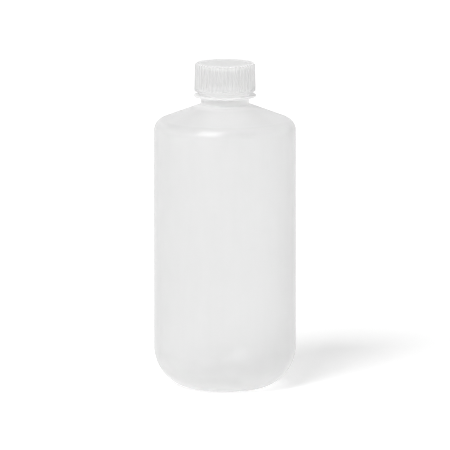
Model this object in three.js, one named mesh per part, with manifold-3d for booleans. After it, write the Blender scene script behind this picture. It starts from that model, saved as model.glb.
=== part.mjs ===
// 500 mL narrow-mouth, round-shouldered reagent bottle in natural polypropylene:
// a blow-moulded bottle, its ribbed screw cap and the sealing disc inside the cap.
// Millimetres, +Z up. Origin: centre of the base, on the plane the bottle stands on.
import * as THREE from 'three';
import { mergeVertices } from 'three/addons/utils/BufferGeometryUtils.js';
import Module from 'manifold-3d';

const wasm = await Module();
wasm.setup();

// ---- driving dimensions -------------------------------------------------
const BODY_R = 36.9;            // outside radius of the straight body
const BASE_CORNER_R = 21.8;     // large radius between base and body
const BASE_SINK = 0.13;         // how far the standing ring flattens the corner radius
const STAND_RING_R_IN = 13.0;   // inner edge of the flat standing ring
const PUSH_UP = 2.4;            // height of the dome in the middle of the base
const PUSH_UP_FLAT_R = 6.5;     // radius of the dome's nearly flat middle
const SHOULDER_SLOPE = THREE.MathUtils.degToRad(21); // shoulder cone, from horizontal
const SHOULDER_R = 6.9;         // radius between body and shoulder cone
const NECK_R = 12.5;            // outside radius of the neck
const NECK_FOOT_Z = 148.75;     // where the shoulder cone meets the neck
const NECK_FOOT_R = 1.2;        // small fillet there
const RING_R = 16.25;           // outside radius of the ring under the cap
const RING_Z0 = 152.65;
const RING_Z1 = 153.6;
const BORE_R = 10.9;            // clear bore of the neck
const RIM_Z = 167.3;            // top of the neck
const WALL = 1.2;               // body wall
const BASE_WALL = 1.4;          // base wall
const SHOULDER_WALL = 1.25;     // shoulder wall

const CAP_Z0 = 155.6;           // bottom edge of the cap
const CAP_Z1 = 170.2;           // top of the cap
const CAP_TOP_WALL = 1.5;
const CAP_BORE_R = 13.9;
const CAP_ROOT_R_LOW = 15.3;    // bottom of the grooves between ribs, low on the skirt
const CAP_ROOT_R_HIGH = 15.05;  // and high on the skirt
const CAP_BAND_R = 15.9;        // plain band under the ribs
const CAP_BAND_H = 1.15;
const RIB_COUNT = 50;
const RIB_R_LOW = 15.9;         // crest of a rib at its bottom
const RIB_R_HIGH = 15.6;        // and near its top
const RIB_WIDTH = 0.95;
const CAP_EDGE_R = 1.3;         // rounded edge of the top
const CAP_DISH_R = 12.7;        // shallow dish in the top
const CAP_DISH = 0.3;

const PITCH = 4.233;            // 6 threads per inch
const THREAD_TURNS = 1.5;
const FADE_TURNS = 0.11;        // run-out at each end of a thread
const BOTTLE_THREAD_Z = 159.3;  // centre of the bottle's thread at its lower end
const BOTTLE_THREAD_ROOT = 12.2;
const BOTTLE_THREAD_CREST = 13.7;
const BOTTLE_THREAD_ROOT_W = 2.35;
const BOTTLE_THREAD_CREST_W = 1.0;
const CAP_THREAD_DROP = 1.575;  // the cap's thread runs this far under the bottle's
const CAP_THREAD_ROOT = 14.1;
const CAP_THREAD_CREST = 12.85;
const CAP_THREAD_ROOT_W = 1.9;
const CAP_THREAD_CREST_W = 0.7;

const LINER_R = 13.4;
const LINER_Z0 = RIM_Z + 0.1;
const LINER_Z1 = CAP_Z1 - CAP_TOP_WALL - 0.1;

const BOTTLE_SEGMENTS = 48;
const CAP_SEGMENTS = 50;        // one to each rib
const THREAD_STEPS_PER_TURN = 36;

// ---- profiles -----------------------------------------------------------
// A polyline of [r, z, cornerRadius, cornerSteps] points with its corners rounded.
function rounded(points) {
  const out = [];
  points.forEach(([r, z, radius = 0, steps = 2], i) => {
    if (!radius) { out.push(new THREE.Vector2(r, z)); return; }
    const p = new THREE.Vector2(r, z);
    const a = new THREE.Vector2(points[i - 1][0], points[i - 1][1]).sub(p).normalize();
    const b = new THREE.Vector2(points[i + 1][0], points[i + 1][1]).sub(p).normalize();
    const half = Math.acos(THREE.MathUtils.clamp(a.dot(b), -1, 1)) / 2;
    const tangent = radius / Math.tan(half);
    const centre = a.clone().add(b).normalize().multiplyScalar(radius / Math.sin(half)).add(p);
    const from = a.clone().multiplyScalar(tangent).add(p).sub(centre);
    const to = b.clone().multiplyScalar(tangent).add(p).sub(centre);
    const start = Math.atan2(from.y, from.x);
    let sweep = Math.atan2(to.y, to.x) - start;
    if (sweep > Math.PI) sweep -= 2 * Math.PI;
    if (sweep < -Math.PI) sweep += 2 * Math.PI;
    for (let k = 0; k <= steps; k++) {
      const t = start + (sweep * k) / steps;
      out.push(new THREE.Vector2(centre.x + radius * Math.cos(t), centre.y + radius * Math.sin(t)));
    }
  });
  return out;
}

// ---- solids -------------------------------------------------------------
function toSolid(geometry) {
  const g = geometry.index ? geometry.toNonIndexed() : geometry.clone();
  g.deleteAttribute('normal');
  g.deleteAttribute('uv');
  const merged = mergeVertices(g, 1e-5);
  const index = Array.from(merged.index.array);
  const pos = merged.attributes.position;
  // drop the zero-area triangles that a revolved profile leaves on its axis
  const tri = [];
  let volume = 0;
  const v = [new THREE.Vector3(), new THREE.Vector3(), new THREE.Vector3()];
  for (let i = 0; i < index.length; i += 3) {
    const [a, b, c] = index.slice(i, i + 3);
    if (a === b || b === c || a === c) continue;
    [a, b, c].forEach((n, k) => v[k].fromBufferAttribute(pos, n));
    volume += v[0].dot(v[1].clone().cross(v[2])) / 6;
    tri.push(a, b, c);
  }
  if (volume < 0) for (let i = 0; i < tri.length; i += 3) [tri[i + 1], tri[i + 2]] = [tri[i + 2], tri[i + 1]];
  const solid = new wasm.Manifold(new wasm.Mesh({
    numProp: 3,
    vertProperties: new Float32Array(pos.array),
    triVerts: new Uint32Array(tri),
  }));
  return solid;
}

function toGeometry(solid) {
  const mesh = solid.getMesh();
  const g = new THREE.BufferGeometry();
  g.setAttribute('position', new THREE.BufferAttribute(new Float32Array(mesh.vertProperties), 3));
  g.setIndex(new THREE.BufferAttribute(new Uint32Array(mesh.triVerts), 1));
  g.computeVertexNormals();
  return g;
}

function revolve(profile, segments) {
  const g = new THREE.LatheGeometry(profile, segments);
  g.rotateX(Math.PI / 2);
  return toSolid(g);
}

// A helix whose section stays upright: the section's x runs radially outwards and its
// y runs along Z. The radial direction shortens over the run-out at both ends, so the
// thread grows out of the wall and sinks back into it.
class ThreadPath extends THREE.Curve {
  constructor(radius, z0) {
    super();
    this.radius = radius;
    this.z0 = z0;
  }
  getPoint(t, target = new THREE.Vector3()) {
    const angle = t * THREAD_TURNS * 2 * Math.PI;
    return target.set(this.radius * Math.cos(angle), this.radius * Math.sin(angle), this.z0 + PITCH * THREAD_TURNS * t);
  }
  getPointAt(t, target) { return this.getPoint(t, target); }
  computeFrenetFrames(steps) {
    const tangents = [], normals = [], binormals = [];
    for (let i = 0; i <= steps; i++) {
      const t = i / steps;
      const angle = t * THREAD_TURNS * 2 * Math.PI;
      const run = Math.min(t, 1 - t) * THREAD_TURNS / FADE_TURNS;
      const grow = 0.08 + 0.92 * THREE.MathUtils.smoothstep(run, 0, 1);
      tangents.push(new THREE.Vector3(-Math.sin(angle), Math.cos(angle), 0));
      normals.push(new THREE.Vector3(Math.cos(angle), Math.sin(angle), 0).multiplyScalar(grow));
      binormals.push(new THREE.Vector3(0, 0, 1));
    }
    return { tangents, normals, binormals };
  }
}

function thread(rootR, crestR, rootW, crestW, z0) {
  const h = crestR - rootR;
  const section = new THREE.Shape([
    new THREE.Vector2(0, -rootW / 2),
    new THREE.Vector2(h, -crestW / 2),
    new THREE.Vector2(h, crestW / 2),
    new THREE.Vector2(0, rootW / 2),
  ]);
  return toSolid(new THREE.ExtrudeGeometry(section, {
    steps: Math.round(THREAD_TURNS * THREAD_STEPS_PER_TURN),
    bevelEnabled: false,
    extrudePath: new ThreadPath(rootR, z0),
  }));
}

// ---- bottle -------------------------------------------------------------
const slope = Math.tan(SHOULDER_SLOPE);
const coneZ = (r) => NECK_FOOT_Z - slope * (r - NECK_R);
const innerConeZ = (r) => coneZ(r) - SHOULDER_WALL / Math.cos(SHOULDER_SLOPE);

// base corner, cut off by the standing plane
const cornerCentreR = BODY_R - BASE_CORNER_R;
const cornerCentreZ = BASE_CORNER_R - BASE_SINK;
const cornerStart = Math.acos(cornerCentreZ / BASE_CORNER_R);
const corner = [];
for (let k = 0; k <= 9; k++) {
  const a = cornerStart + (Math.PI / 2 - cornerStart) * (k / 9);
  corner.push([
    cornerCentreR + BASE_CORNER_R * Math.sin(a),
    k === 0 ? 0 : cornerCentreZ - BASE_CORNER_R * Math.cos(a),
  ]);
}

const bottleProfile = rounded([
  [0, PUSH_UP],
  [PUSH_UP_FLAT_R, PUSH_UP, 6, 3],
  [STAND_RING_R_IN, 0],
  ...corner,
  [BODY_R, coneZ(BODY_R), SHOULDER_R, 6],
  [NECK_R, NECK_FOOT_Z, NECK_FOOT_R, 3],
  [NECK_R, RING_Z0],
  [RING_R, RING_Z0, 0.4, 2],
  [RING_R, RING_Z1, 0.4, 2],
  [NECK_R, RING_Z1],
  [NECK_R, RIM_Z, 0.5, 2],
  [BORE_R, RIM_Z, 0.4, 2],
  [BORE_R, innerConeZ(BORE_R), 2.6, 3],
  [BODY_R - WALL, innerConeZ(BODY_R - WALL), SHOULDER_R - WALL, 5],
  [BODY_R - WALL, BASE_WALL, BASE_CORNER_R - BASE_WALL, 8],
  [STAND_RING_R_IN + 0.3, BASE_WALL],
  [PUSH_UP_FLAT_R + 0.4, PUSH_UP + BASE_WALL, 6, 3],
  [0, PUSH_UP + BASE_WALL],
]);

const bottleSolid = revolve(bottleProfile, BOTTLE_SEGMENTS).add(
  thread(BOTTLE_THREAD_ROOT, BOTTLE_THREAD_CREST, BOTTLE_THREAD_ROOT_W, BOTTLE_THREAD_CREST_W, BOTTLE_THREAD_Z));

// ---- screw cap ----------------------------------------------------------
const capInnerTop = CAP_Z1 - CAP_TOP_WALL;
const bandTop = CAP_Z0 + CAP_BAND_H;
const capProfile = rounded([
  [0, CAP_Z1 - CAP_DISH],
  [CAP_DISH_R - 0.3, CAP_Z1 - CAP_DISH],
  [CAP_DISH_R, CAP_Z1],
  [CAP_ROOT_R_HIGH, CAP_Z1, CAP_EDGE_R, 3],
  [CAP_ROOT_R_LOW, bandTop + 0.3],
  [CAP_BAND_R, bandTop],
  [CAP_BAND_R, CAP_Z0, 0.3, 2],
  [CAP_BORE_R + 0.35, CAP_Z0],
  [CAP_BORE_R, CAP_Z0 + 0.6],
  [CAP_BORE_R, capInnerTop, 0.35, 2],
  [0, capInnerTop],
]);

const ribProfile = [
  [CAP_ROOT_R_HIGH - 0.5, bandTop - 0.4],
  [RIB_R_LOW - 0.02, bandTop - 0.4],
  [RIB_R_LOW - 0.02, bandTop],
  [RIB_R_HIGH, CAP_Z1 - 1.35],
  [RIB_R_HIGH - 0.35, CAP_Z1 - 0.7],
  [CAP_ROOT_R_HIGH - 0.5, CAP_Z1 - 0.7],
];
const ribShape = new THREE.Shape(ribProfile.map(([r, z]) => new THREE.Vector2(r, z)));
let capSolid = revolve(rounded(capProfile.map((p) => [p.x, p.y])), CAP_SEGMENTS);
for (let i = 0; i < RIB_COUNT; i++) {
  const rib = new THREE.ExtrudeGeometry(ribShape, { depth: RIB_WIDTH, bevelEnabled: false });
  rib.translate(0, 0, -RIB_WIDTH / 2);
  rib.rotateX(Math.PI / 2);
  rib.rotateZ((i * 2 * Math.PI) / RIB_COUNT);
  capSolid = capSolid.add(toSolid(rib));
}
capSolid = capSolid.add(
  thread(CAP_THREAD_ROOT, CAP_THREAD_CREST, CAP_THREAD_ROOT_W, CAP_THREAD_CREST_W, BOTTLE_THREAD_Z - CAP_THREAD_DROP));

// ---- cap liner ----------------------------------------------------------
const linerSolid = revolve(rounded([
  [0, LINER_Z0],
  [LINER_R, LINER_Z0, 0.15, 2],
  [LINER_R, LINER_Z1, 0.15, 2],
  [0, LINER_Z1],
]), BOTTLE_SEGMENTS);

// ---- materials ----------------------------------------------------------
const naturalBody = new THREE.MeshStandardMaterial({
  name: 'natural_plastic', color: 0xe9eaea, roughness: 0.35, metalness: 0, transparent: true, opacity: 0.62,
});
const naturalCap = new THREE.MeshStandardMaterial({
  name: 'natural_plastic_cap', color: 0xe6e7e7, roughness: 0.35, metalness: 0, transparent: true, opacity: 0.78,
});
const linerFoam = new THREE.MeshStandardMaterial({
  name: 'liner_foam', color: 0xf4f4f1, roughness: 0.75, metalness: 0,
});

function part(name, solid, material) {
  const mesh = new THREE.Mesh(toGeometry(solid), material);
  mesh.name = name;
  return mesh;
}

// ---- assembly -----------------------------------------------------------
const bottle = part('bottle', bottleSolid, naturalBody);
const closure = new THREE.Group();
closure.add(part('screw_cap', capSolid, naturalCap));
closure.add(part('cap_liner', linerSolid, linerFoam));

const reagentBottle = new THREE.Group();
reagentBottle.add(bottle, closure);

export default reagentBottle;
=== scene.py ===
import math

import bpy
import numpy as np
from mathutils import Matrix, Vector


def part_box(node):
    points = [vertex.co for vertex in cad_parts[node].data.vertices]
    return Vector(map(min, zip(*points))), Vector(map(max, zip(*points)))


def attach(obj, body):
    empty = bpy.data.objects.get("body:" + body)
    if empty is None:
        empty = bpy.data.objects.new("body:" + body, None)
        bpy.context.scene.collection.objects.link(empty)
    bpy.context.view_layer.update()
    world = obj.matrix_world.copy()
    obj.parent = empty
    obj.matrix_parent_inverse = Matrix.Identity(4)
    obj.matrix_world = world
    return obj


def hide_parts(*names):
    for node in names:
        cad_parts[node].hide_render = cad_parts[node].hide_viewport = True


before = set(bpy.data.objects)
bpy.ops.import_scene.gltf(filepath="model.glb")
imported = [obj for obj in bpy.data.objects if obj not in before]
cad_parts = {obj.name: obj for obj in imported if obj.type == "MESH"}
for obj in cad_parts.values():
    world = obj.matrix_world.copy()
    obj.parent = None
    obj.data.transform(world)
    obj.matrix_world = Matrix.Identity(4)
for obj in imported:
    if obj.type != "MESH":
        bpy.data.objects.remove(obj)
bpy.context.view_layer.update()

# ---- places and sizes, from the CAD frame (metres) ----------------------
MM = 0.001
bottle_lo, bottle_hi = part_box("bottle")
cap_lo, cap_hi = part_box("screw_cap")
liner_lo, liner_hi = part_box("cap_liner")
BODY_R = bottle_hi.x                # 36.9 mm
RIM_Z = bottle_hi.z                 # 167.3 mm
CAP_Z0, CAP_Z1 = cap_lo.z, cap_hi.z
CAP_R = cap_hi.y                    # 15.9 mm, over the band and the ribs
LINER_Z0, LINER_Z1, LINER_R = liner_lo.z, liner_hi.z, liner_hi.x

SLOPE = math.radians(21)
NECK_R = 12.5 * MM
NECK_FOOT_Z = RIM_Z - 18.55 * MM
RING_R = 16.25 * MM
RING_Z0, RING_Z1 = RIM_Z - 14.65 * MM, RIM_Z - 13.7 * MM
BORE_R = 10.9 * MM
BASE_R = 21.8 * MM
BASE_SINK = 0.13 * MM
PITCH = 4.233 * MM
TURNS = 1.5
FADE = 0.11


# ---- small mesh toolkit -------------------------------------------------
def arc(cx, cz, r, a0, a1, n):
    """Points on an arc, angles in degrees from +r towards +z, both ends included."""
    return [(cx + r * math.cos(math.radians(a0 + (a1 - a0) * k / n)),
             cz + r * math.sin(math.radians(a0 + (a1 - a0) * k / n))) for k in range(n + 1)]


def rounded(points):
    """A polyline of (r, z[, corner radius, steps]) points with its corners rounded."""
    out = []
    for i, p in enumerate(points):
        r, z = p[0], p[1]
        radius = p[2] if len(p) > 2 else 0
        steps = p[3] if len(p) > 3 else 4
        if not radius or i in (0, len(points) - 1):
            out.append((r, z))
            continue
        here = np.array([r, z])
        a = np.array(points[i - 1][:2]) - here
        b = np.array(points[i + 1][:2]) - here
        a /= np.linalg.norm(a)
        b /= np.linalg.norm(b)
        half = math.acos(max(-1, min(1, float(a @ b)))) / 2
        tangent = radius / math.tan(half)
        bis = (a + b) / np.linalg.norm(a + b)
        c = here + bis * radius / math.sin(half)
        f, t = here + a * tangent - c, here + b * tangent - c
        a0 = math.atan2(f[1], f[0])
        sweep = math.atan2(t[1], t[0]) - a0
        if sweep > math.pi:
            sweep -= 2 * math.pi
        if sweep < -math.pi:
            sweep += 2 * math.pi
        for k in range(steps + 1):
            w = a0 + sweep * k / steps
            out.append((c[0] + radius * math.cos(w), c[1] + radius * math.sin(w)))
    return out


def subdivided(points, longest):
    """Adds points on long straight runs so that no run is longer than `longest`."""
    out = [points[0]]
    for p, q in zip(points, points[1:]):
        d = math.hypot(q[0] - p[0], q[1] - p[1])
        n = max(1, int(math.ceil(d / longest)))
        for k in range(1, n + 1):
            out.append((p[0] + (q[0] - p[0]) * k / n, p[1] + (q[1] - p[1]) * k / n))
    return out


def smooth(x, lo=0.0, hi=1.0):
    t = np.clip((x - lo) / (hi - lo), 0, 1)
    return t * t * (3 - 2 * t)


def skin(name, rows, columns, inside=None):
    """A closed skin from rows of (columns, 3) points. The first and last rows are poles, given as one point each.
    Faces from row `inside` on take the second material."""
    verts = [rows[0]]
    for row in rows[1:-1]:
        verts.extend(row.tolist())
    verts.append(rows[-1])
    n, k = columns, len(rows) - 2
    faces, inner_faces = [], 0
    j = np.arange(n)
    jn = (j + 1) % n
    first = 1 + j, 1 + jn
    for a, b in zip(*first):
        faces.append((0, int(b), int(a)))
    for i in range(k - 1):
        if inside is not None and i + 1 == inside:
            inner_faces = len(faces)
        lo, hi = 1 + i * n, 1 + (i + 1) * n
        faces.extend(zip((lo + j).tolist(), (lo + jn).tolist(), (hi + jn).tolist(), (hi + j).tolist()))
    last = len(verts) - 1
    base = 1 + (k - 1) * n
    for a, b in zip(base + j, base + jn):
        faces.append((last, int(a), int(b)))
    mesh = bpy.data.meshes.new(name)
    mesh.from_pydata(verts, [], faces)
    mesh.update()
    # outward faces: the signed volume of a closed skin is positive
    mesh.calc_loop_triangles()
    co = np.array([v.co for v in mesh.vertices], float)
    tri = np.array([t.vertices for t in mesh.loop_triangles], int)
    vol = np.einsum("ij,ij->i", co[tri[:, 0]], np.cross(co[tri[:, 1]], co[tri[:, 2]])).sum() / 6
    if vol < 0:
        mesh.flip_normals()
    mesh.polygons.foreach_set("use_smooth", [True] * len(mesh.polygons))
    if inner_faces:
        mesh.polygons.foreach_set("material_index", [int(f >= inner_faces) for f in range(len(mesh.polygons))])
    mesh.update()
    ob = bpy.data.objects.new(name, mesh)
    bpy.context.scene.collection.objects.link(ob)
    return ob


def ring_row(r, z, theta):
    """r and z are numbers or arrays over the columns."""
    r = np.broadcast_to(r, theta.shape)
    z = np.broadcast_to(z, theta.shape)
    return np.stack([r * np.cos(theta), r * np.sin(theta), z], axis=1)


def wander(theta, z, seed, waves):
    """A smooth, periodic, repeatable waviness between -1 and 1 over the skin."""
    rng = np.random.RandomState(seed)
    total = np.zeros_like(theta)
    weight = 0
    for m, kz in waves:
        phase, pz = rng.uniform(0, 2 * math.pi, 2)
        w = 1.0 / (1 + 0.4 * m)
        total = total + w * np.cos(m * theta + phase) * math.cos(kz * z / MM + pz)
        weight += w
    return total / weight


def helix_bump(theta, z, z0, root_w, crest_w, height):
    """Height of a right-hand thread over the wall at angles theta and height z. Flanks are straight, with eased corners, and both ends run out into the wall."""
    best = np.zeros_like(theta)
    for turn in range(0, 3):
        t = theta / (2 * math.pi) + turn            # turns from the thread's lower end
        run = np.minimum(t, TURNS - t) / FADE
        grow = smooth(run)
        d = np.abs(z - (z0 + PITCH * t))
        half_root = crest_w / 2 + (root_w - crest_w) / 2
        flank = np.clip((half_root - d) / (half_root - crest_w / 2), 0, 1)
        ease = flank * flank * (3 - 2 * flank) * 0.45 + flank * 0.55
        best = np.maximum(best, height * ease * grow)
    return best


# ---- bottle: one blow-moulded shell -------------------------------------
COLUMNS = 256
theta = np.arange(COLUMNS) * 2 * math.pi / COLUMNS
tan_s, cos_s = math.tan(SLOPE), math.cos(SLOPE)


def cone_z(r):
    return NECK_FOOT_Z - tan_s * (r - NECK_R)


def inner_cone_z(r):
    return cone_z(r) - 1.25 * MM / cos_s


corner_z = BASE_R - BASE_SINK
start = math.degrees(math.acos(corner_z / BASE_R))
outer = rounded([
    (0.0, 2.4 * MM),
    (6.5 * MM, 2.4 * MM, 6 * MM, 6),
    (13.0 * MM, 0.0, 1.2 * MM, 4),
    (BODY_R - BASE_R + BASE_R * math.sin(math.radians(start)), 0.0),
])
outer += arc(BODY_R - BASE_R, corner_z, BASE_R, -90 + start, 0, 36)[1:]
outer += rounded([
    (BODY_R, corner_z + 1 * MM),
    (BODY_R, cone_z(BODY_R), 6.9 * MM, 22),
    (NECK_R, NECK_FOOT_Z, 1.2 * MM, 8),
    (NECK_R, RING_Z0, 0.25 * MM, 3),
    (RING_R, RING_Z0, 0.42 * MM, 6),
    (RING_R, RING_Z1, 0.42 * MM, 6),
    (NECK_R, RING_Z1, 0.25 * MM, 3),
    (NECK_R, RING_Z1 + 0.5 * MM),
])
outer = subdivided(outer, 3.0 * MM)
finish_rows = [(NECK_R, z) for z in np.arange(RING_Z1 + 0.6 * MM, RIM_Z - 0.62 * MM, 0.16 * MM)]
rim = arc(NECK_R - 0.6 * MM, RIM_Z - 0.6 * MM, 0.6 * MM, 0, 90, 5)
rim += arc(BORE_R + 0.45 * MM, RIM_Z - 0.45 * MM, 0.45 * MM, 90, 180, 4)
inner = rounded([
    (BORE_R, RIM_Z - 0.6 * MM),
    (BORE_R, inner_cone_z(BORE_R), 2.6 * MM, 8),
    (BODY_R - 1.2 * MM, inner_cone_z(BODY_R - 1.2 * MM), 5.7 * MM, 18),
    (BODY_R - 1.2 * MM, 1.4 * MM, BASE_R - 1.4 * MM, 30),
    (13.4 * MM, 1.4 * MM, 1.5 * MM, 3),
    (6.9 * MM, 3.8 * MM, 6 * MM, 6),
    (0.0, 3.8 * MM),
])
inner = subdivided(inner, 3.0 * MM)

rows, kinds = [], []
for kind, part in (("outer", outer), ("finish", finish_rows), ("rim", rim), ("inner", inner)):
    for p in part:
        if rows and math.hypot(p[0] - rows[-1][0], p[1] - rows[-1][1]) < 0.02 * MM:
            continue
        rows.append(p)
        kinds.append(kind)

SEAM = np.exp(-((np.sin(theta) * BODY_R) / (0.28 * MM)) ** 2)  # the mould's parting line, at both sides
skin_rows = [(0.0, 0.0, rows[0][1])]
for (r, z), kind in list(zip(rows, kinds))[1:-1]:
    rr = np.full(COLUMNS, r)
    zz = np.full(COLUMNS, z)
    if kind == "outer":
        # blow-moulded walls are never quite true: a shallow inward waviness, none on rings and base
        calm = float(smooth(z, 8 * MM, 30 * MM) * (1 - smooth(z, 118 * MM, 133 * MM)))
        wave = wander(theta, z, 11, [(2, 0.021), (3, 0.035), (5, 0.05), (1, 0.028)])
        rr = rr - calm * 0.06 * MM * (1 + wave)
        if z < 5 * MM and r < 12.4 * MM:
            # the pinch-off seam across the dome
            x, y = r * np.cos(theta), r * np.sin(theta)
            fall = 1 - smooth(np.abs(x), 8.5 * MM, 11.5 * MM)
            zz = zz - 0.35 * MM * np.exp(-(y / (0.42 * MM)) ** 2) * fall
        elif r > 18 * MM and z < RING_Z0 - 4.5 * MM:
            line = np.exp(-((np.sin(theta) * r) / (0.28 * MM)) ** 2)
            rr = rr + (0.05 * MM if calm > 0.5 else 0.0) * line * calm
    elif kind == "finish":
        rr = rr + helix_bump(theta, z, RIM_Z - 8.0 * MM, 2.2 * MM, 1.0 * MM, 1.2 * MM)
    elif kind == "inner":
        wave = wander(theta, z, 23, [(1, 0.03), (2, 0.045), (4, 0.06), (6, 0.03)])
        depth = float(smooth(z, 12 * MM, 40 * MM) * (1 - smooth(z, 110 * MM, 132 * MM)))
        rr = rr + depth * 0.10 * MM * wave
    skin_rows.append(ring_row(np.minimum(rr, BODY_R), zz, theta))
skin_rows.append((0.0, 0.0, rows[-1][1]))
bottle = skin("bottle_shell", skin_rows, COLUMNS, inside=kinds.index("inner"))

# ---- screw cap: ribbed skirt, dished top, moulded thread ----------------
RIBS = 50
CAP_COLUMNS = RIBS * 10
phi = np.arange(CAP_COLUMNS) * 2 * math.pi / CAP_COLUMNS
u = np.abs(((phi * RIBS / (2 * math.pi) + 0.5) % 1.0) - 0.5)
RIB = smooth((0.42 - u) / (0.42 - 0.08))

ROOT_LOW, ROOT_HIGH = CAP_R - 0.48 * MM, CAP_R - 0.72 * MM
CREST_LOW, CREST_HIGH = CAP_R - 0.03 * MM, CAP_R - 0.28 * MM
BAND_TOP = CAP_Z0 + 1.1 * MM
root_path, crest_path = [], []


def both(p, q=None):
    root_path.append(p)
    crest_path.append(q or p)


DISH_Z = CAP_Z1 - 0.3 * MM
for p in rounded([
    (0.0, DISH_Z),
    (0.6 * MM, DISH_Z),
    (1.6 * MM, DISH_Z + 0.03 * MM),
    (4.0 * MM, DISH_Z),
    (8.0 * MM, DISH_Z),
    (12.3 * MM, DISH_Z, 0.35 * MM, 4),
    (12.75 * MM, CAP_Z1, 0.3 * MM, 4),
    (13.1 * MM, CAP_Z1),
]):
    both(p)
rc, qc = 1.2 * MM, 1.3 * MM
for k in range(0, 11):
    a = math.radians(90 - 9 * k)
    both((ROOT_HIGH - rc + rc * math.cos(a), CAP_Z1 - rc + rc * math.sin(a)),
         (CREST_HIGH - qc + qc * math.cos(a), CAP_Z1 - qc + qc * math.sin(a)))
zt, zb = CAP_Z1 - qc, BAND_TOP + 0.35 * MM
for k in range(1, 13):
    f = k / 12
    z = zt + (zb - zt) * f
    both((ROOT_HIGH + (ROOT_LOW - ROOT_HIGH) * f, z), (CREST_HIGH + (CREST_LOW - CREST_HIGH) * f, z))
for k in range(1, 6):
    f = float(smooth(k / 5))
    z = zb - 0.35 * MM * k / 5
    both((ROOT_LOW + (CAP_R - 0.02 * MM - ROOT_LOW) * f, z), (CREST_LOW + (CAP_R - 0.02 * MM - CREST_LOW) * f, z))
for p in rounded([
    (CAP_R, BAND_TOP - 0.2 * MM),
    (CAP_R, CAP_Z0, 0.35 * MM, 5),
    (14.3 * MM, CAP_Z0, 0.12 * MM, 2),
    (13.9 * MM, CAP_Z0 + 0.6 * MM, 0.3 * MM, 2),
    (13.9 * MM, CAP_Z0 + 0.8 * MM),
]):
    both(p)
inner_top = CAP_Z1 - 1.5 * MM
cap_kinds = ["outer"] * len(root_path)
for z in np.arange(CAP_Z0 + 0.85 * MM, inner_top - 0.55 * MM, 0.17 * MM):
    both((13.9 * MM, z))
    cap_kinds.append("thread")
for p in rounded([
    (13.9 * MM, inner_top - 0.5 * MM),
    (13.9 * MM, inner_top, 0.35 * MM, 4),
    (9.0 * MM, inner_top),
    (4.0 * MM, inner_top),
    (0.0, inner_top),
]):
    both(p)
    cap_kinds.append("inner")

cap_rows = [(0.0, 0.0, root_path[0][1])]
for i in range(1, len(root_path) - 1):
    (r0, z0), (r1, z1) = root_path[i], crest_path[i]
    rr = r0 + (r1 - r0) * RIB
    zz = z0 + (z1 - z0) * RIB
    if cap_kinds[i] == "thread":
        rr = rr - helix_bump(phi, z0, RIM_Z - 9.575 * MM, 1.7 * MM, 0.7 * MM, 1.05 * MM)
    cap_rows.append(ring_row(rr, zz, phi))
cap_rows.append((0.0, 0.0, root_path[-1][1]))
cap = skin("screw_cap_shell", cap_rows, CAP_COLUMNS, inside=cap_kinds.index("thread"))

# ---- liner: foam disc with the rim's print on its underside -------------
LINER_COLUMNS = 128
psi = np.arange(LINER_COLUMNS) * 2 * math.pi / LINER_COLUMNS
under = rounded([
    (0.0, LINER_Z0),
    (5.0 * MM, LINER_Z0),
    (10.7 * MM, LINER_Z0, 0.2 * MM, 3),
    (11.0 * MM, LINER_Z0 + 0.12 * MM, 0.2 * MM, 3),
    (12.2 * MM, LINER_Z0 + 0.12 * MM, 0.2 * MM, 3),
    (12.6 * MM, LINER_Z0, 0.2 * MM, 3),
    (LINER_R, LINER_Z0, 0.2 * MM, 4),
    (LINER_R, LINER_Z1, 0.2 * MM, 4),
    (8.0 * MM, LINER_Z1),
    (0.0, LINER_Z1),
])
under = subdivided(under, 1.5 * MM)
liner = skin("liner_disc",
             [(0.0, 0.0, under[0][1])] + [ring_row(r, z, psi) for r, z in under[1:-1]] + [(0.0, 0.0, under[-1][1])],
             LINER_COLUMNS)


# ---- materials ----------------------------------------------------------
def nodes_of(name):
    mat = bpy.data.materials.new(name)
    mat.use_nodes = True
    nt = mat.node_tree
    nt.nodes.clear()
    return mat, nt


def add(nt, kind, **values):
    node = nt.nodes.new(kind)
    for key, value in values.items():
        if key.startswith("_"):
            setattr(node, key[1:], value)
        else:
            node.inputs[key.replace("_", " ")].default_value = value
    return node


def noise(nt, coords, scale, detail=2.0, rough=0.5, stretch=None):
    source = coords.outputs["Object"]
    if stretch:
        m = nt.nodes.new("ShaderNodeMapping")
        m.inputs["Scale"].default_value = stretch
        nt.links.new(source, m.inputs["Vector"])
        source = m.outputs["Vector"]
    n = nt.nodes.new("ShaderNodeTexNoise")
    n.inputs["Scale"].default_value = scale
    n.inputs["Detail"].default_value = detail
    n.inputs["Roughness"].default_value = rough
    nt.links.new(source, n.inputs["Vector"])
    return n


def ranged(nt, socket, lo, hi, from_lo=0.3, from_hi=0.7):
    m = nt.nodes.new("ShaderNodeMapRange")
    m.inputs["From Min"].default_value = from_lo
    m.inputs["From Max"].default_value = from_hi
    m.inputs["To Min"].default_value = lo
    m.inputs["To Max"].default_value = hi
    nt.links.new(socket, m.inputs["Value"])
    return m.outputs["Result"]


def maths(nt, op, a, b):
    m = nt.nodes.new("ShaderNodeMath")
    m.operation = op
    for k, v in enumerate((a, b)):
        if isinstance(v, (int, float)):
            m.inputs[k].default_value = v
        else:
            nt.links.new(v, m.inputs[k])
    return m.outputs["Value"]


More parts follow.
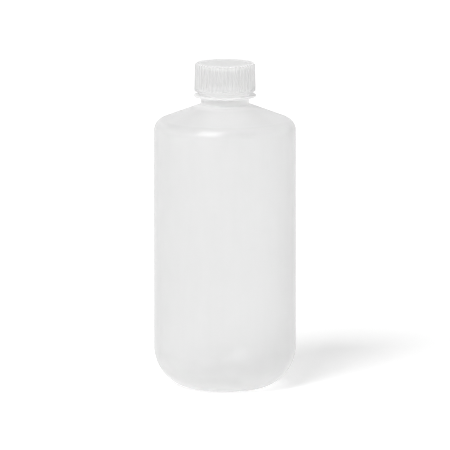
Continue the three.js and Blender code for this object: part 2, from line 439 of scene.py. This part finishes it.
def milky_plastic(name, tint, clear, through, rough, cloud_scale, bump, streaks, pass_tint, even=False, sheen=0.04,
                  painted_light_zones=(), painted_light_tint=None, painted_light_pass=None, painted_light_milk=0.0):
    """Translucent natural plastic. clear: share of light that passes a surface straight, at right angles to it; at a
    slant the light's path through the wall is longer and less passes. through: share of the scattered light that goes
    on inwards.
    Cloudiness, faint draw lines and surface orange-peel come from noise. even: the same share at every slant.
    sheen: mirror share face on. zones: (height with none, height with all, how much) of the stretches that are
    painted lighter and milkier as painted light, lifting the shade on them."""
    mat, nt = nodes_of(name)
    link = nt.links.new
    co = nt.nodes.new("ShaderNodeTexCoord")
    cloud = noise(nt, co, cloud_scale, 3.0, 0.55)
    draw = noise(nt, co, 1.0, 3.0, 0.6, stretch=streaks)
    fine = noise(nt, co, 900.0, 3.0, 0.6)
    peel = noise(nt, co, 260.0, 2.0, 0.5)

    b1 = nt.nodes.new("ShaderNodeBump")
    b1.inputs["Strength"].default_value = bump
    b1.inputs["Distance"].default_value = 0.0004
    link(peel.outputs["Fac"], b1.inputs["Height"])
    b2 = nt.nodes.new("ShaderNodeBump")
    b2.inputs["Strength"].default_value = bump * 0.6
    b2.inputs["Distance"].default_value = 0.0001
    link(fine.outputs["Fac"], b2.inputs["Height"])
    link(b1.outputs["Normal"], b2.inputs["Normal"])
    normal = b2.outputs["Normal"]

    facing = nt.nodes.new("ShaderNodeLayerWeight")
    facing.inputs["Blend"].default_value = 0.5
    slant = maths(nt, "MAXIMUM", maths(nt, "SUBTRACT", 1.0, facing.outputs["Facing"]), 0.12)
    thick = maths(nt, "DIVIDE", 1.0, slant)
    haze = maths(nt, "ADD", ranged(nt, cloud.outputs["Fac"], -0.012, 0.012),
                 ranged(nt, draw.outputs["Fac"], -0.006, 0.006))
    clear_base = maths(nt, "ADD", haze, clear)

    shade = nt.nodes.new("ShaderNodeMix")
    shade.data_type = "RGBA"
    shade.inputs["A"].default_value = (*[c * 0.985 for c in tint], 1)
    shade.inputs["B"].default_value = (*tint, 1)
    link(ranged(nt, cloud.outputs["Fac"], 0, 1), shade.inputs["Factor"])
    colour = shade.outputs["Result"]
    pass_colour = None
    # painted light: in the zones the colour, the see-through tint and the clear share move toward lighter, milkier
    # values, lifting the shade there
    if painted_light_zones:
        at = nt.nodes.new("ShaderNodeSeparateXYZ")
        link(co.outputs["Object"], at.inputs["Vector"])
        stretch = [ranged(nt, at.outputs["Z"], 0, most, z0, z1) for z0, z1, most in painted_light_zones]
        painted_light_mask = stretch[0] if len(stretch) == 1 else maths(nt, "MAXIMUM", stretch[0], stretch[1])
        painted_lighter = nt.nodes.new("ShaderNodeMix")
        painted_lighter.data_type = "RGBA"
        link(painted_light_mask, painted_lighter.inputs["Factor"])
        link(colour, painted_lighter.inputs["A"])
        painted_lighter.inputs["B"].default_value = (*painted_light_tint, 1)
        colour = painted_lighter.outputs["Result"]
        painted_lighter_pass = nt.nodes.new("ShaderNodeMix")
        painted_lighter_pass.data_type = "RGBA"
        link(painted_light_mask, painted_lighter_pass.inputs["Factor"])
        painted_lighter_pass.inputs["A"].default_value = (*pass_tint, 1)
        painted_lighter_pass.inputs["B"].default_value = (*painted_light_pass, 1)
        pass_colour = painted_lighter_pass.outputs["Result"]
        clear_base = maths(nt, "SUBTRACT", clear_base, maths(nt, "MULTIPLY", painted_light_mask, painted_light_milk))
    clear_socket = clear_base if even else maths(nt, "POWER", clear_base, thick)
    rough_socket = ranged(nt, peel.outputs["Fac"], rough * 0.85, rough * 1.15)

    diff = nt.nodes.new("ShaderNodeBsdfDiffuse")
    trans = nt.nodes.new("ShaderNodeBsdfTranslucent")
    glass = nt.nodes.new("ShaderNodeBsdfTransparent")
    gloss = nt.nodes.new("ShaderNodeBsdfGlossy")
    for n in (diff, trans):
        link(colour, n.inputs["Color"])
        link(normal, n.inputs["Normal"])
    glass.inputs["Color"].default_value = (*pass_tint, 1)
    if pass_colour:
        link(pass_colour, glass.inputs["Color"])
    gloss.inputs["Color"].default_value = (1, 1, 1, 1)
    link(rough_socket, gloss.inputs["Roughness"])
    link(normal, gloss.inputs["Normal"])

    scatter = nt.nodes.new("ShaderNodeMixShader")
    scatter.inputs["Fac"].default_value = through
    link(diff.outputs["BSDF"], scatter.inputs[1])
    link(trans.outputs["BSDF"], scatter.inputs[2])
    body = nt.nodes.new("ShaderNodeMixShader")
    link(clear_socket, body.inputs["Fac"])
    link(scatter.outputs["Shader"], body.inputs[1])
    link(glass.outputs["BSDF"], body.inputs[2])
    # mirror share at a surface: 4 % face on, rising at a slant
    glance = nt.nodes.new("ShaderNodeLayerWeight")
    glance.inputs["Blend"].default_value = 0.5
    link(normal, glance.inputs["Normal"])
    mirror = maths(nt, "ADD", maths(nt, "MULTIPLY", maths(nt, "POWER", glance.outputs["Facing"], 5.0), 0.30), sheen)
    top = nt.nodes.new("ShaderNodeMixShader")
    link(mirror, top.inputs["Fac"])
    link(body.outputs["Shader"], top.inputs[1])
    link(gloss.outputs["BSDF"], top.inputs[2])
    out = nt.nodes.new("ShaderNodeOutputMaterial")
    link(top.outputs["Shader"], out.inputs["Surface"])
    return mat


# the wall's milkiness is carried by its outer skin; the inner skin adds its own sheen and a trace of haze
# painted light: the outer skin is painted lighter and milkier on the neck and finish above about 149 mm, where the
# ring and cap shade it, and a little on the base bottom below 20 mm, which stands in shade near the floor
bottle.data.materials.append(milky_plastic(
    "natural_plastic_body", (0.82, 0.82, 0.82), 0.69, 0.50, 0.13, 22.0, 0.03, (70, 70, 6), (0.93, 0.93, 0.93),
    painted_light_zones=((0.1468, 0.1492, 1.0), (0.020, 0.011, 0.2)), painted_light_tint=(0.96, 0.96, 0.96), painted_light_pass=(0.985, 0.985, 0.985), painted_light_milk=0.06))
# painted light: the inner skin is painted lighter and much milkier in the base below about 19 mm, fully below 9 mm,
# lifting the shade there
bottle.data.materials.append(milky_plastic(
    "natural_plastic_body_inside", (0.90, 0.90, 0.90), 0.94, 0.50, 0.16, 22.0, 0.03, (70, 70, 6), (0.99, 0.99, 0.99), even=True,
    painted_light_zones=((0.019, 0.009, 1.0),), painted_light_tint=(0.96, 0.96, 0.96), painted_light_pass=(0.99, 0.99, 0.99), painted_light_milk=0.36))
# painted light: the cap's top face is painted lighter, standing in for light falling on it from above
cap.data.materials.append(milky_plastic(
    "natural_plastic_cap", (0.83, 0.83, 0.83), 0.50, 0.52, 0.42, 60.0, 0.03, (60, 60, 60), (0.98, 0.98, 0.98), sheen=0.03,
    painted_light_zones=((CAP_Z1 - 0.6 * MM, CAP_Z1 - 0.32 * MM, 1.0),), painted_light_tint=(0.98, 0.98, 0.98), painted_light_pass=(0.99, 0.99, 0.99)))
cap.data.materials.append(milky_plastic(
    "natural_plastic_cap_inside", (0.97, 0.97, 0.97), 0.92, 0.50, 0.30, 60.0, 0.03, (60, 60, 60), (0.99, 0.99, 0.99), even=True))


def foam(name):
    mat, nt = nodes_of(name)
    link = nt.links.new
    co = nt.nodes.new("ShaderNodeTexCoord")
    cells = nt.nodes.new("ShaderNodeTexVoronoi")
    cells.inputs["Scale"].default_value = 2600.0
    link(co.outputs["Object"], cells.inputs["Vector"])
    grain = noise(nt, co, 300.0, 3.0, 0.6)
    mix = nt.nodes.new("ShaderNodeMix")
    mix.data_type = "RGBA"
    mix.inputs["A"].default_value = (0.86, 0.86, 0.85, 1)
    mix.inputs["B"].default_value = (0.93, 0.93, 0.925, 1)
    link(ranged(nt, grain.outputs["Fac"], 0, 1), mix.inputs["Factor"])
    bump = nt.nodes.new("ShaderNodeBump")
    bump.inputs["Strength"].default_value = 0.35
    bump.inputs["Distance"].default_value = 0.00012
    link(cells.outputs["Distance"], bump.inputs["Height"])
    p = nt.nodes.new("ShaderNodeBsdfPrincipled")
    link(mix.outputs["Result"], p.inputs["Base Color"])
    link(bump.outputs["Normal"], p.inputs["Normal"])
    link(ranged(nt, grain.outputs["Fac"], 0.68, 0.82), p.inputs["Roughness"])
    out = nt.nodes.new("ShaderNodeOutputMaterial")
    link(p.outputs["BSDF"], out.inputs["Surface"])
    return mat


liner.data.materials.append(foam("liner_foam_visual"))

for piece, node, body, slot in (
    (bottle, "bottle", "bottle", "natural_plastic"),
    (cap, "screw_cap", "cap", "natural_plastic_cap"),
    (liner, "cap_liner", "liner", "liner_foam"),
):
    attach(piece, body)
    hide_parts(node)

# ---- floor, light and camera --------------------------------------------
scene = bpy.context.scene
bpy.ops.mesh.primitive_circle_add(vertices=96, radius=12.0, fill_type="NGON", location=(0, 0, -0.02 * MM))
floor = bpy.context.object
floor.name = "floor"
mat, nt = nodes_of("studio_floor")
co = nt.nodes.new("ShaderNodeTexCoord")
grain = noise(nt, co, 9.0, 3.0, 0.5)
mix = nt.nodes.new("ShaderNodeMix")
mix.data_type = "RGBA"
mix.inputs["A"].default_value = (0.795, 0.795, 0.795, 1)
mix.inputs["B"].default_value = (0.805, 0.805, 0.805, 1)
nt.links.new(ranged(nt, grain.outputs["Fac"], 0, 1), mix.inputs["Factor"])
d = nt.nodes.new("ShaderNodeBsdfDiffuse")
nt.links.new(mix.outputs["Result"], d.inputs["Color"])
glow = nt.nodes.new("ShaderNodeEmission")   # a light table: the floor is lit a little from below
glow.inputs["Strength"].default_value = 0.475
both_ways = nt.nodes.new("ShaderNodeAddShader")
nt.links.new(d.outputs["BSDF"], both_ways.inputs[0])
nt.links.new(glow.outputs["Emission"], both_ways.inputs[1])
out = nt.nodes.new("ShaderNodeOutputMaterial")
nt.links.new(both_ways.outputs["Shader"], out.inputs["Surface"])
floor.data.materials.append(mat)

world = bpy.data.worlds.new("studio")
scene.world = world
world.use_nodes = True
background = world.node_tree.nodes.get("Background") or world.node_tree.nodes.new("ShaderNodeBackground")
background.inputs["Color"].default_value = (1, 1, 1, 1)
background.inputs["Strength"].default_value = 0.24


# the fill lights reach the bottle and its cap only, so the floor keeps one clean shadow
filled = bpy.data.collections.new("lit_by_the_fills")
for piece in (bottle, cap, liner):
    filled.objects.link(piece)
capped = bpy.data.collections.new("lit_by_the_cap_fill")
capped.objects.link(cap)
shell = bpy.data.collections.new("lit_from_above")
shell.objects.link(bottle)


def way_to(azimuth, elevation):
    """The way to a light. Azimuth is measured from the -Y side, where the camera stands, positive to its left."""
    a, e = math.radians(azimuth), math.radians(elevation)
    return Vector((-math.sin(a) * math.cos(e), -math.cos(a) * math.cos(e), math.sin(e)))


def softbox(name, azimuth, elevation, distance, width, height, radiance, target):
    """A rectangular soft light that gives no reflection of its own."""
    data = bpy.data.lights.new(name, "AREA")
    data.shape = "RECTANGLE"
    data.size, data.size_y = width, height
    data.energy = radiance * math.pi * width * height   # watts for that radiance
    ob = bpy.data.objects.new(name, data)
    scene.collection.objects.link(ob)
    way = way_to(azimuth, elevation)
    ob.location = Vector(target) + way * distance
    ob.rotation_mode = "QUATERNION"
    ob.rotation_quaternion = way.to_track_quat("Z", "Y")
    ob.visible_glossy = ob.visible_camera = False
    return ob


middle = (0, 0, 0.085)
side = softbox("side_fill", -80, 12, 2.5, 1.6, 1.6, 2.9, middle)
cap_front = softbox("cap_fill", -18, 31, 2.5, 1.6, 1.6, 1.85, middle)


def reflected_sheet(name, verts, faces, radiance):
    """A lit sheet that only the sheen picks up: it gives reflections and no other light."""
    mesh = bpy.data.meshes.new(name)
    mesh.from_pydata(verts, [], faces)
    mesh.update()
    ob = bpy.data.objects.new(name, mesh)
    scene.collection.objects.link(ob)
    sheet, nt = nodes_of(name)
    lit = nt.nodes.new("ShaderNodeEmission")
    lit.inputs["Strength"].default_value = radiance
    out = nt.nodes.new("ShaderNodeOutputMaterial")
    nt.links.new(lit.outputs["Emission"], out.inputs["Surface"])
    sheet.cycles.emission_sampling = "NONE"
    mesh.materials.append(sheet)
    ob.visible_camera = ob.visible_diffuse = ob.visible_transmission = ob.visible_shadow = False
    return ob


# the window whose reflection is the bright spot on the shoulder
out_to = way_to(34, 52)
across = out_to.cross(Vector((0, 0, 1))).normalized()
up = across.cross(out_to)
centre = Vector(middle) + out_to * 1.6
corners = [centre + across * (0.435 * i) + up * (0.625 * j) for i, j in ((-1, -1), (1, -1), (1, 1), (-1, 1))]
reflected_sheet("window_sheet", corners, [(0, 1, 2, 3)], 3.8)
# the pale room wall all round the set
wall = [(4 * math.sin(k * math.pi / 16), 4 * math.cos(k * math.pi / 16), z) for k in range(32) for z in (0.02, 2.4)]
panes = [(2 * k, 2 * ((k + 1) % 32), 2 * ((k + 1) % 32) + 1, 2 * k + 1) for k in range(32)]
reflected_sheet("pale_wall", wall, panes, 0.85)


def far_light(name, azimuth, elevation, spread, share):
    """A soft light far enough off to be even over the whole floor; share is what it adds to a level white surface."""
    data = bpy.data.lights.new(name, "SUN")
    data.angle = math.radians(spread)
    data.energy = share * math.pi / math.sin(math.radians(elevation))
    ob = bpy.data.objects.new(name, data)
    scene.collection.objects.link(ob)
    ob.rotation_mode = "QUATERNION"
    ob.rotation_quaternion = way_to(azimuth, elevation).to_track_quat("Z", "Y")
    ob.visible_glossy = False
    return ob


far_light("key", 27.5, 40.5, 29, 0.56)
above = far_light("overhead", 0, 80, 75, 0.18)
for fill, lit in ((side, filled), (above, shell), (cap_front, capped)):
    fill.light_linking.receiver_collection = lit

cam_data = bpy.data.cameras.new("camera")
cam_data.sensor_width = 36
cam_data.lens = 770
cam_data.clip_start, cam_data.clip_end = 0.1, 60
cam = bpy.data.objects.new("camera", cam_data)
scene.collection.objects.link(cam)
e = math.radians(9.2)
back = Vector((0, -math.cos(e), math.sin(e)))
cam.location = Vector((0, 0, 0.085)) + back * 5.0
cam.rotation_mode = "QUATERNION"
cam.rotation_quaternion = back.to_track_quat("Z", "Y")
scene.camera = cam
scene.view_settings.view_transform = "Standard"
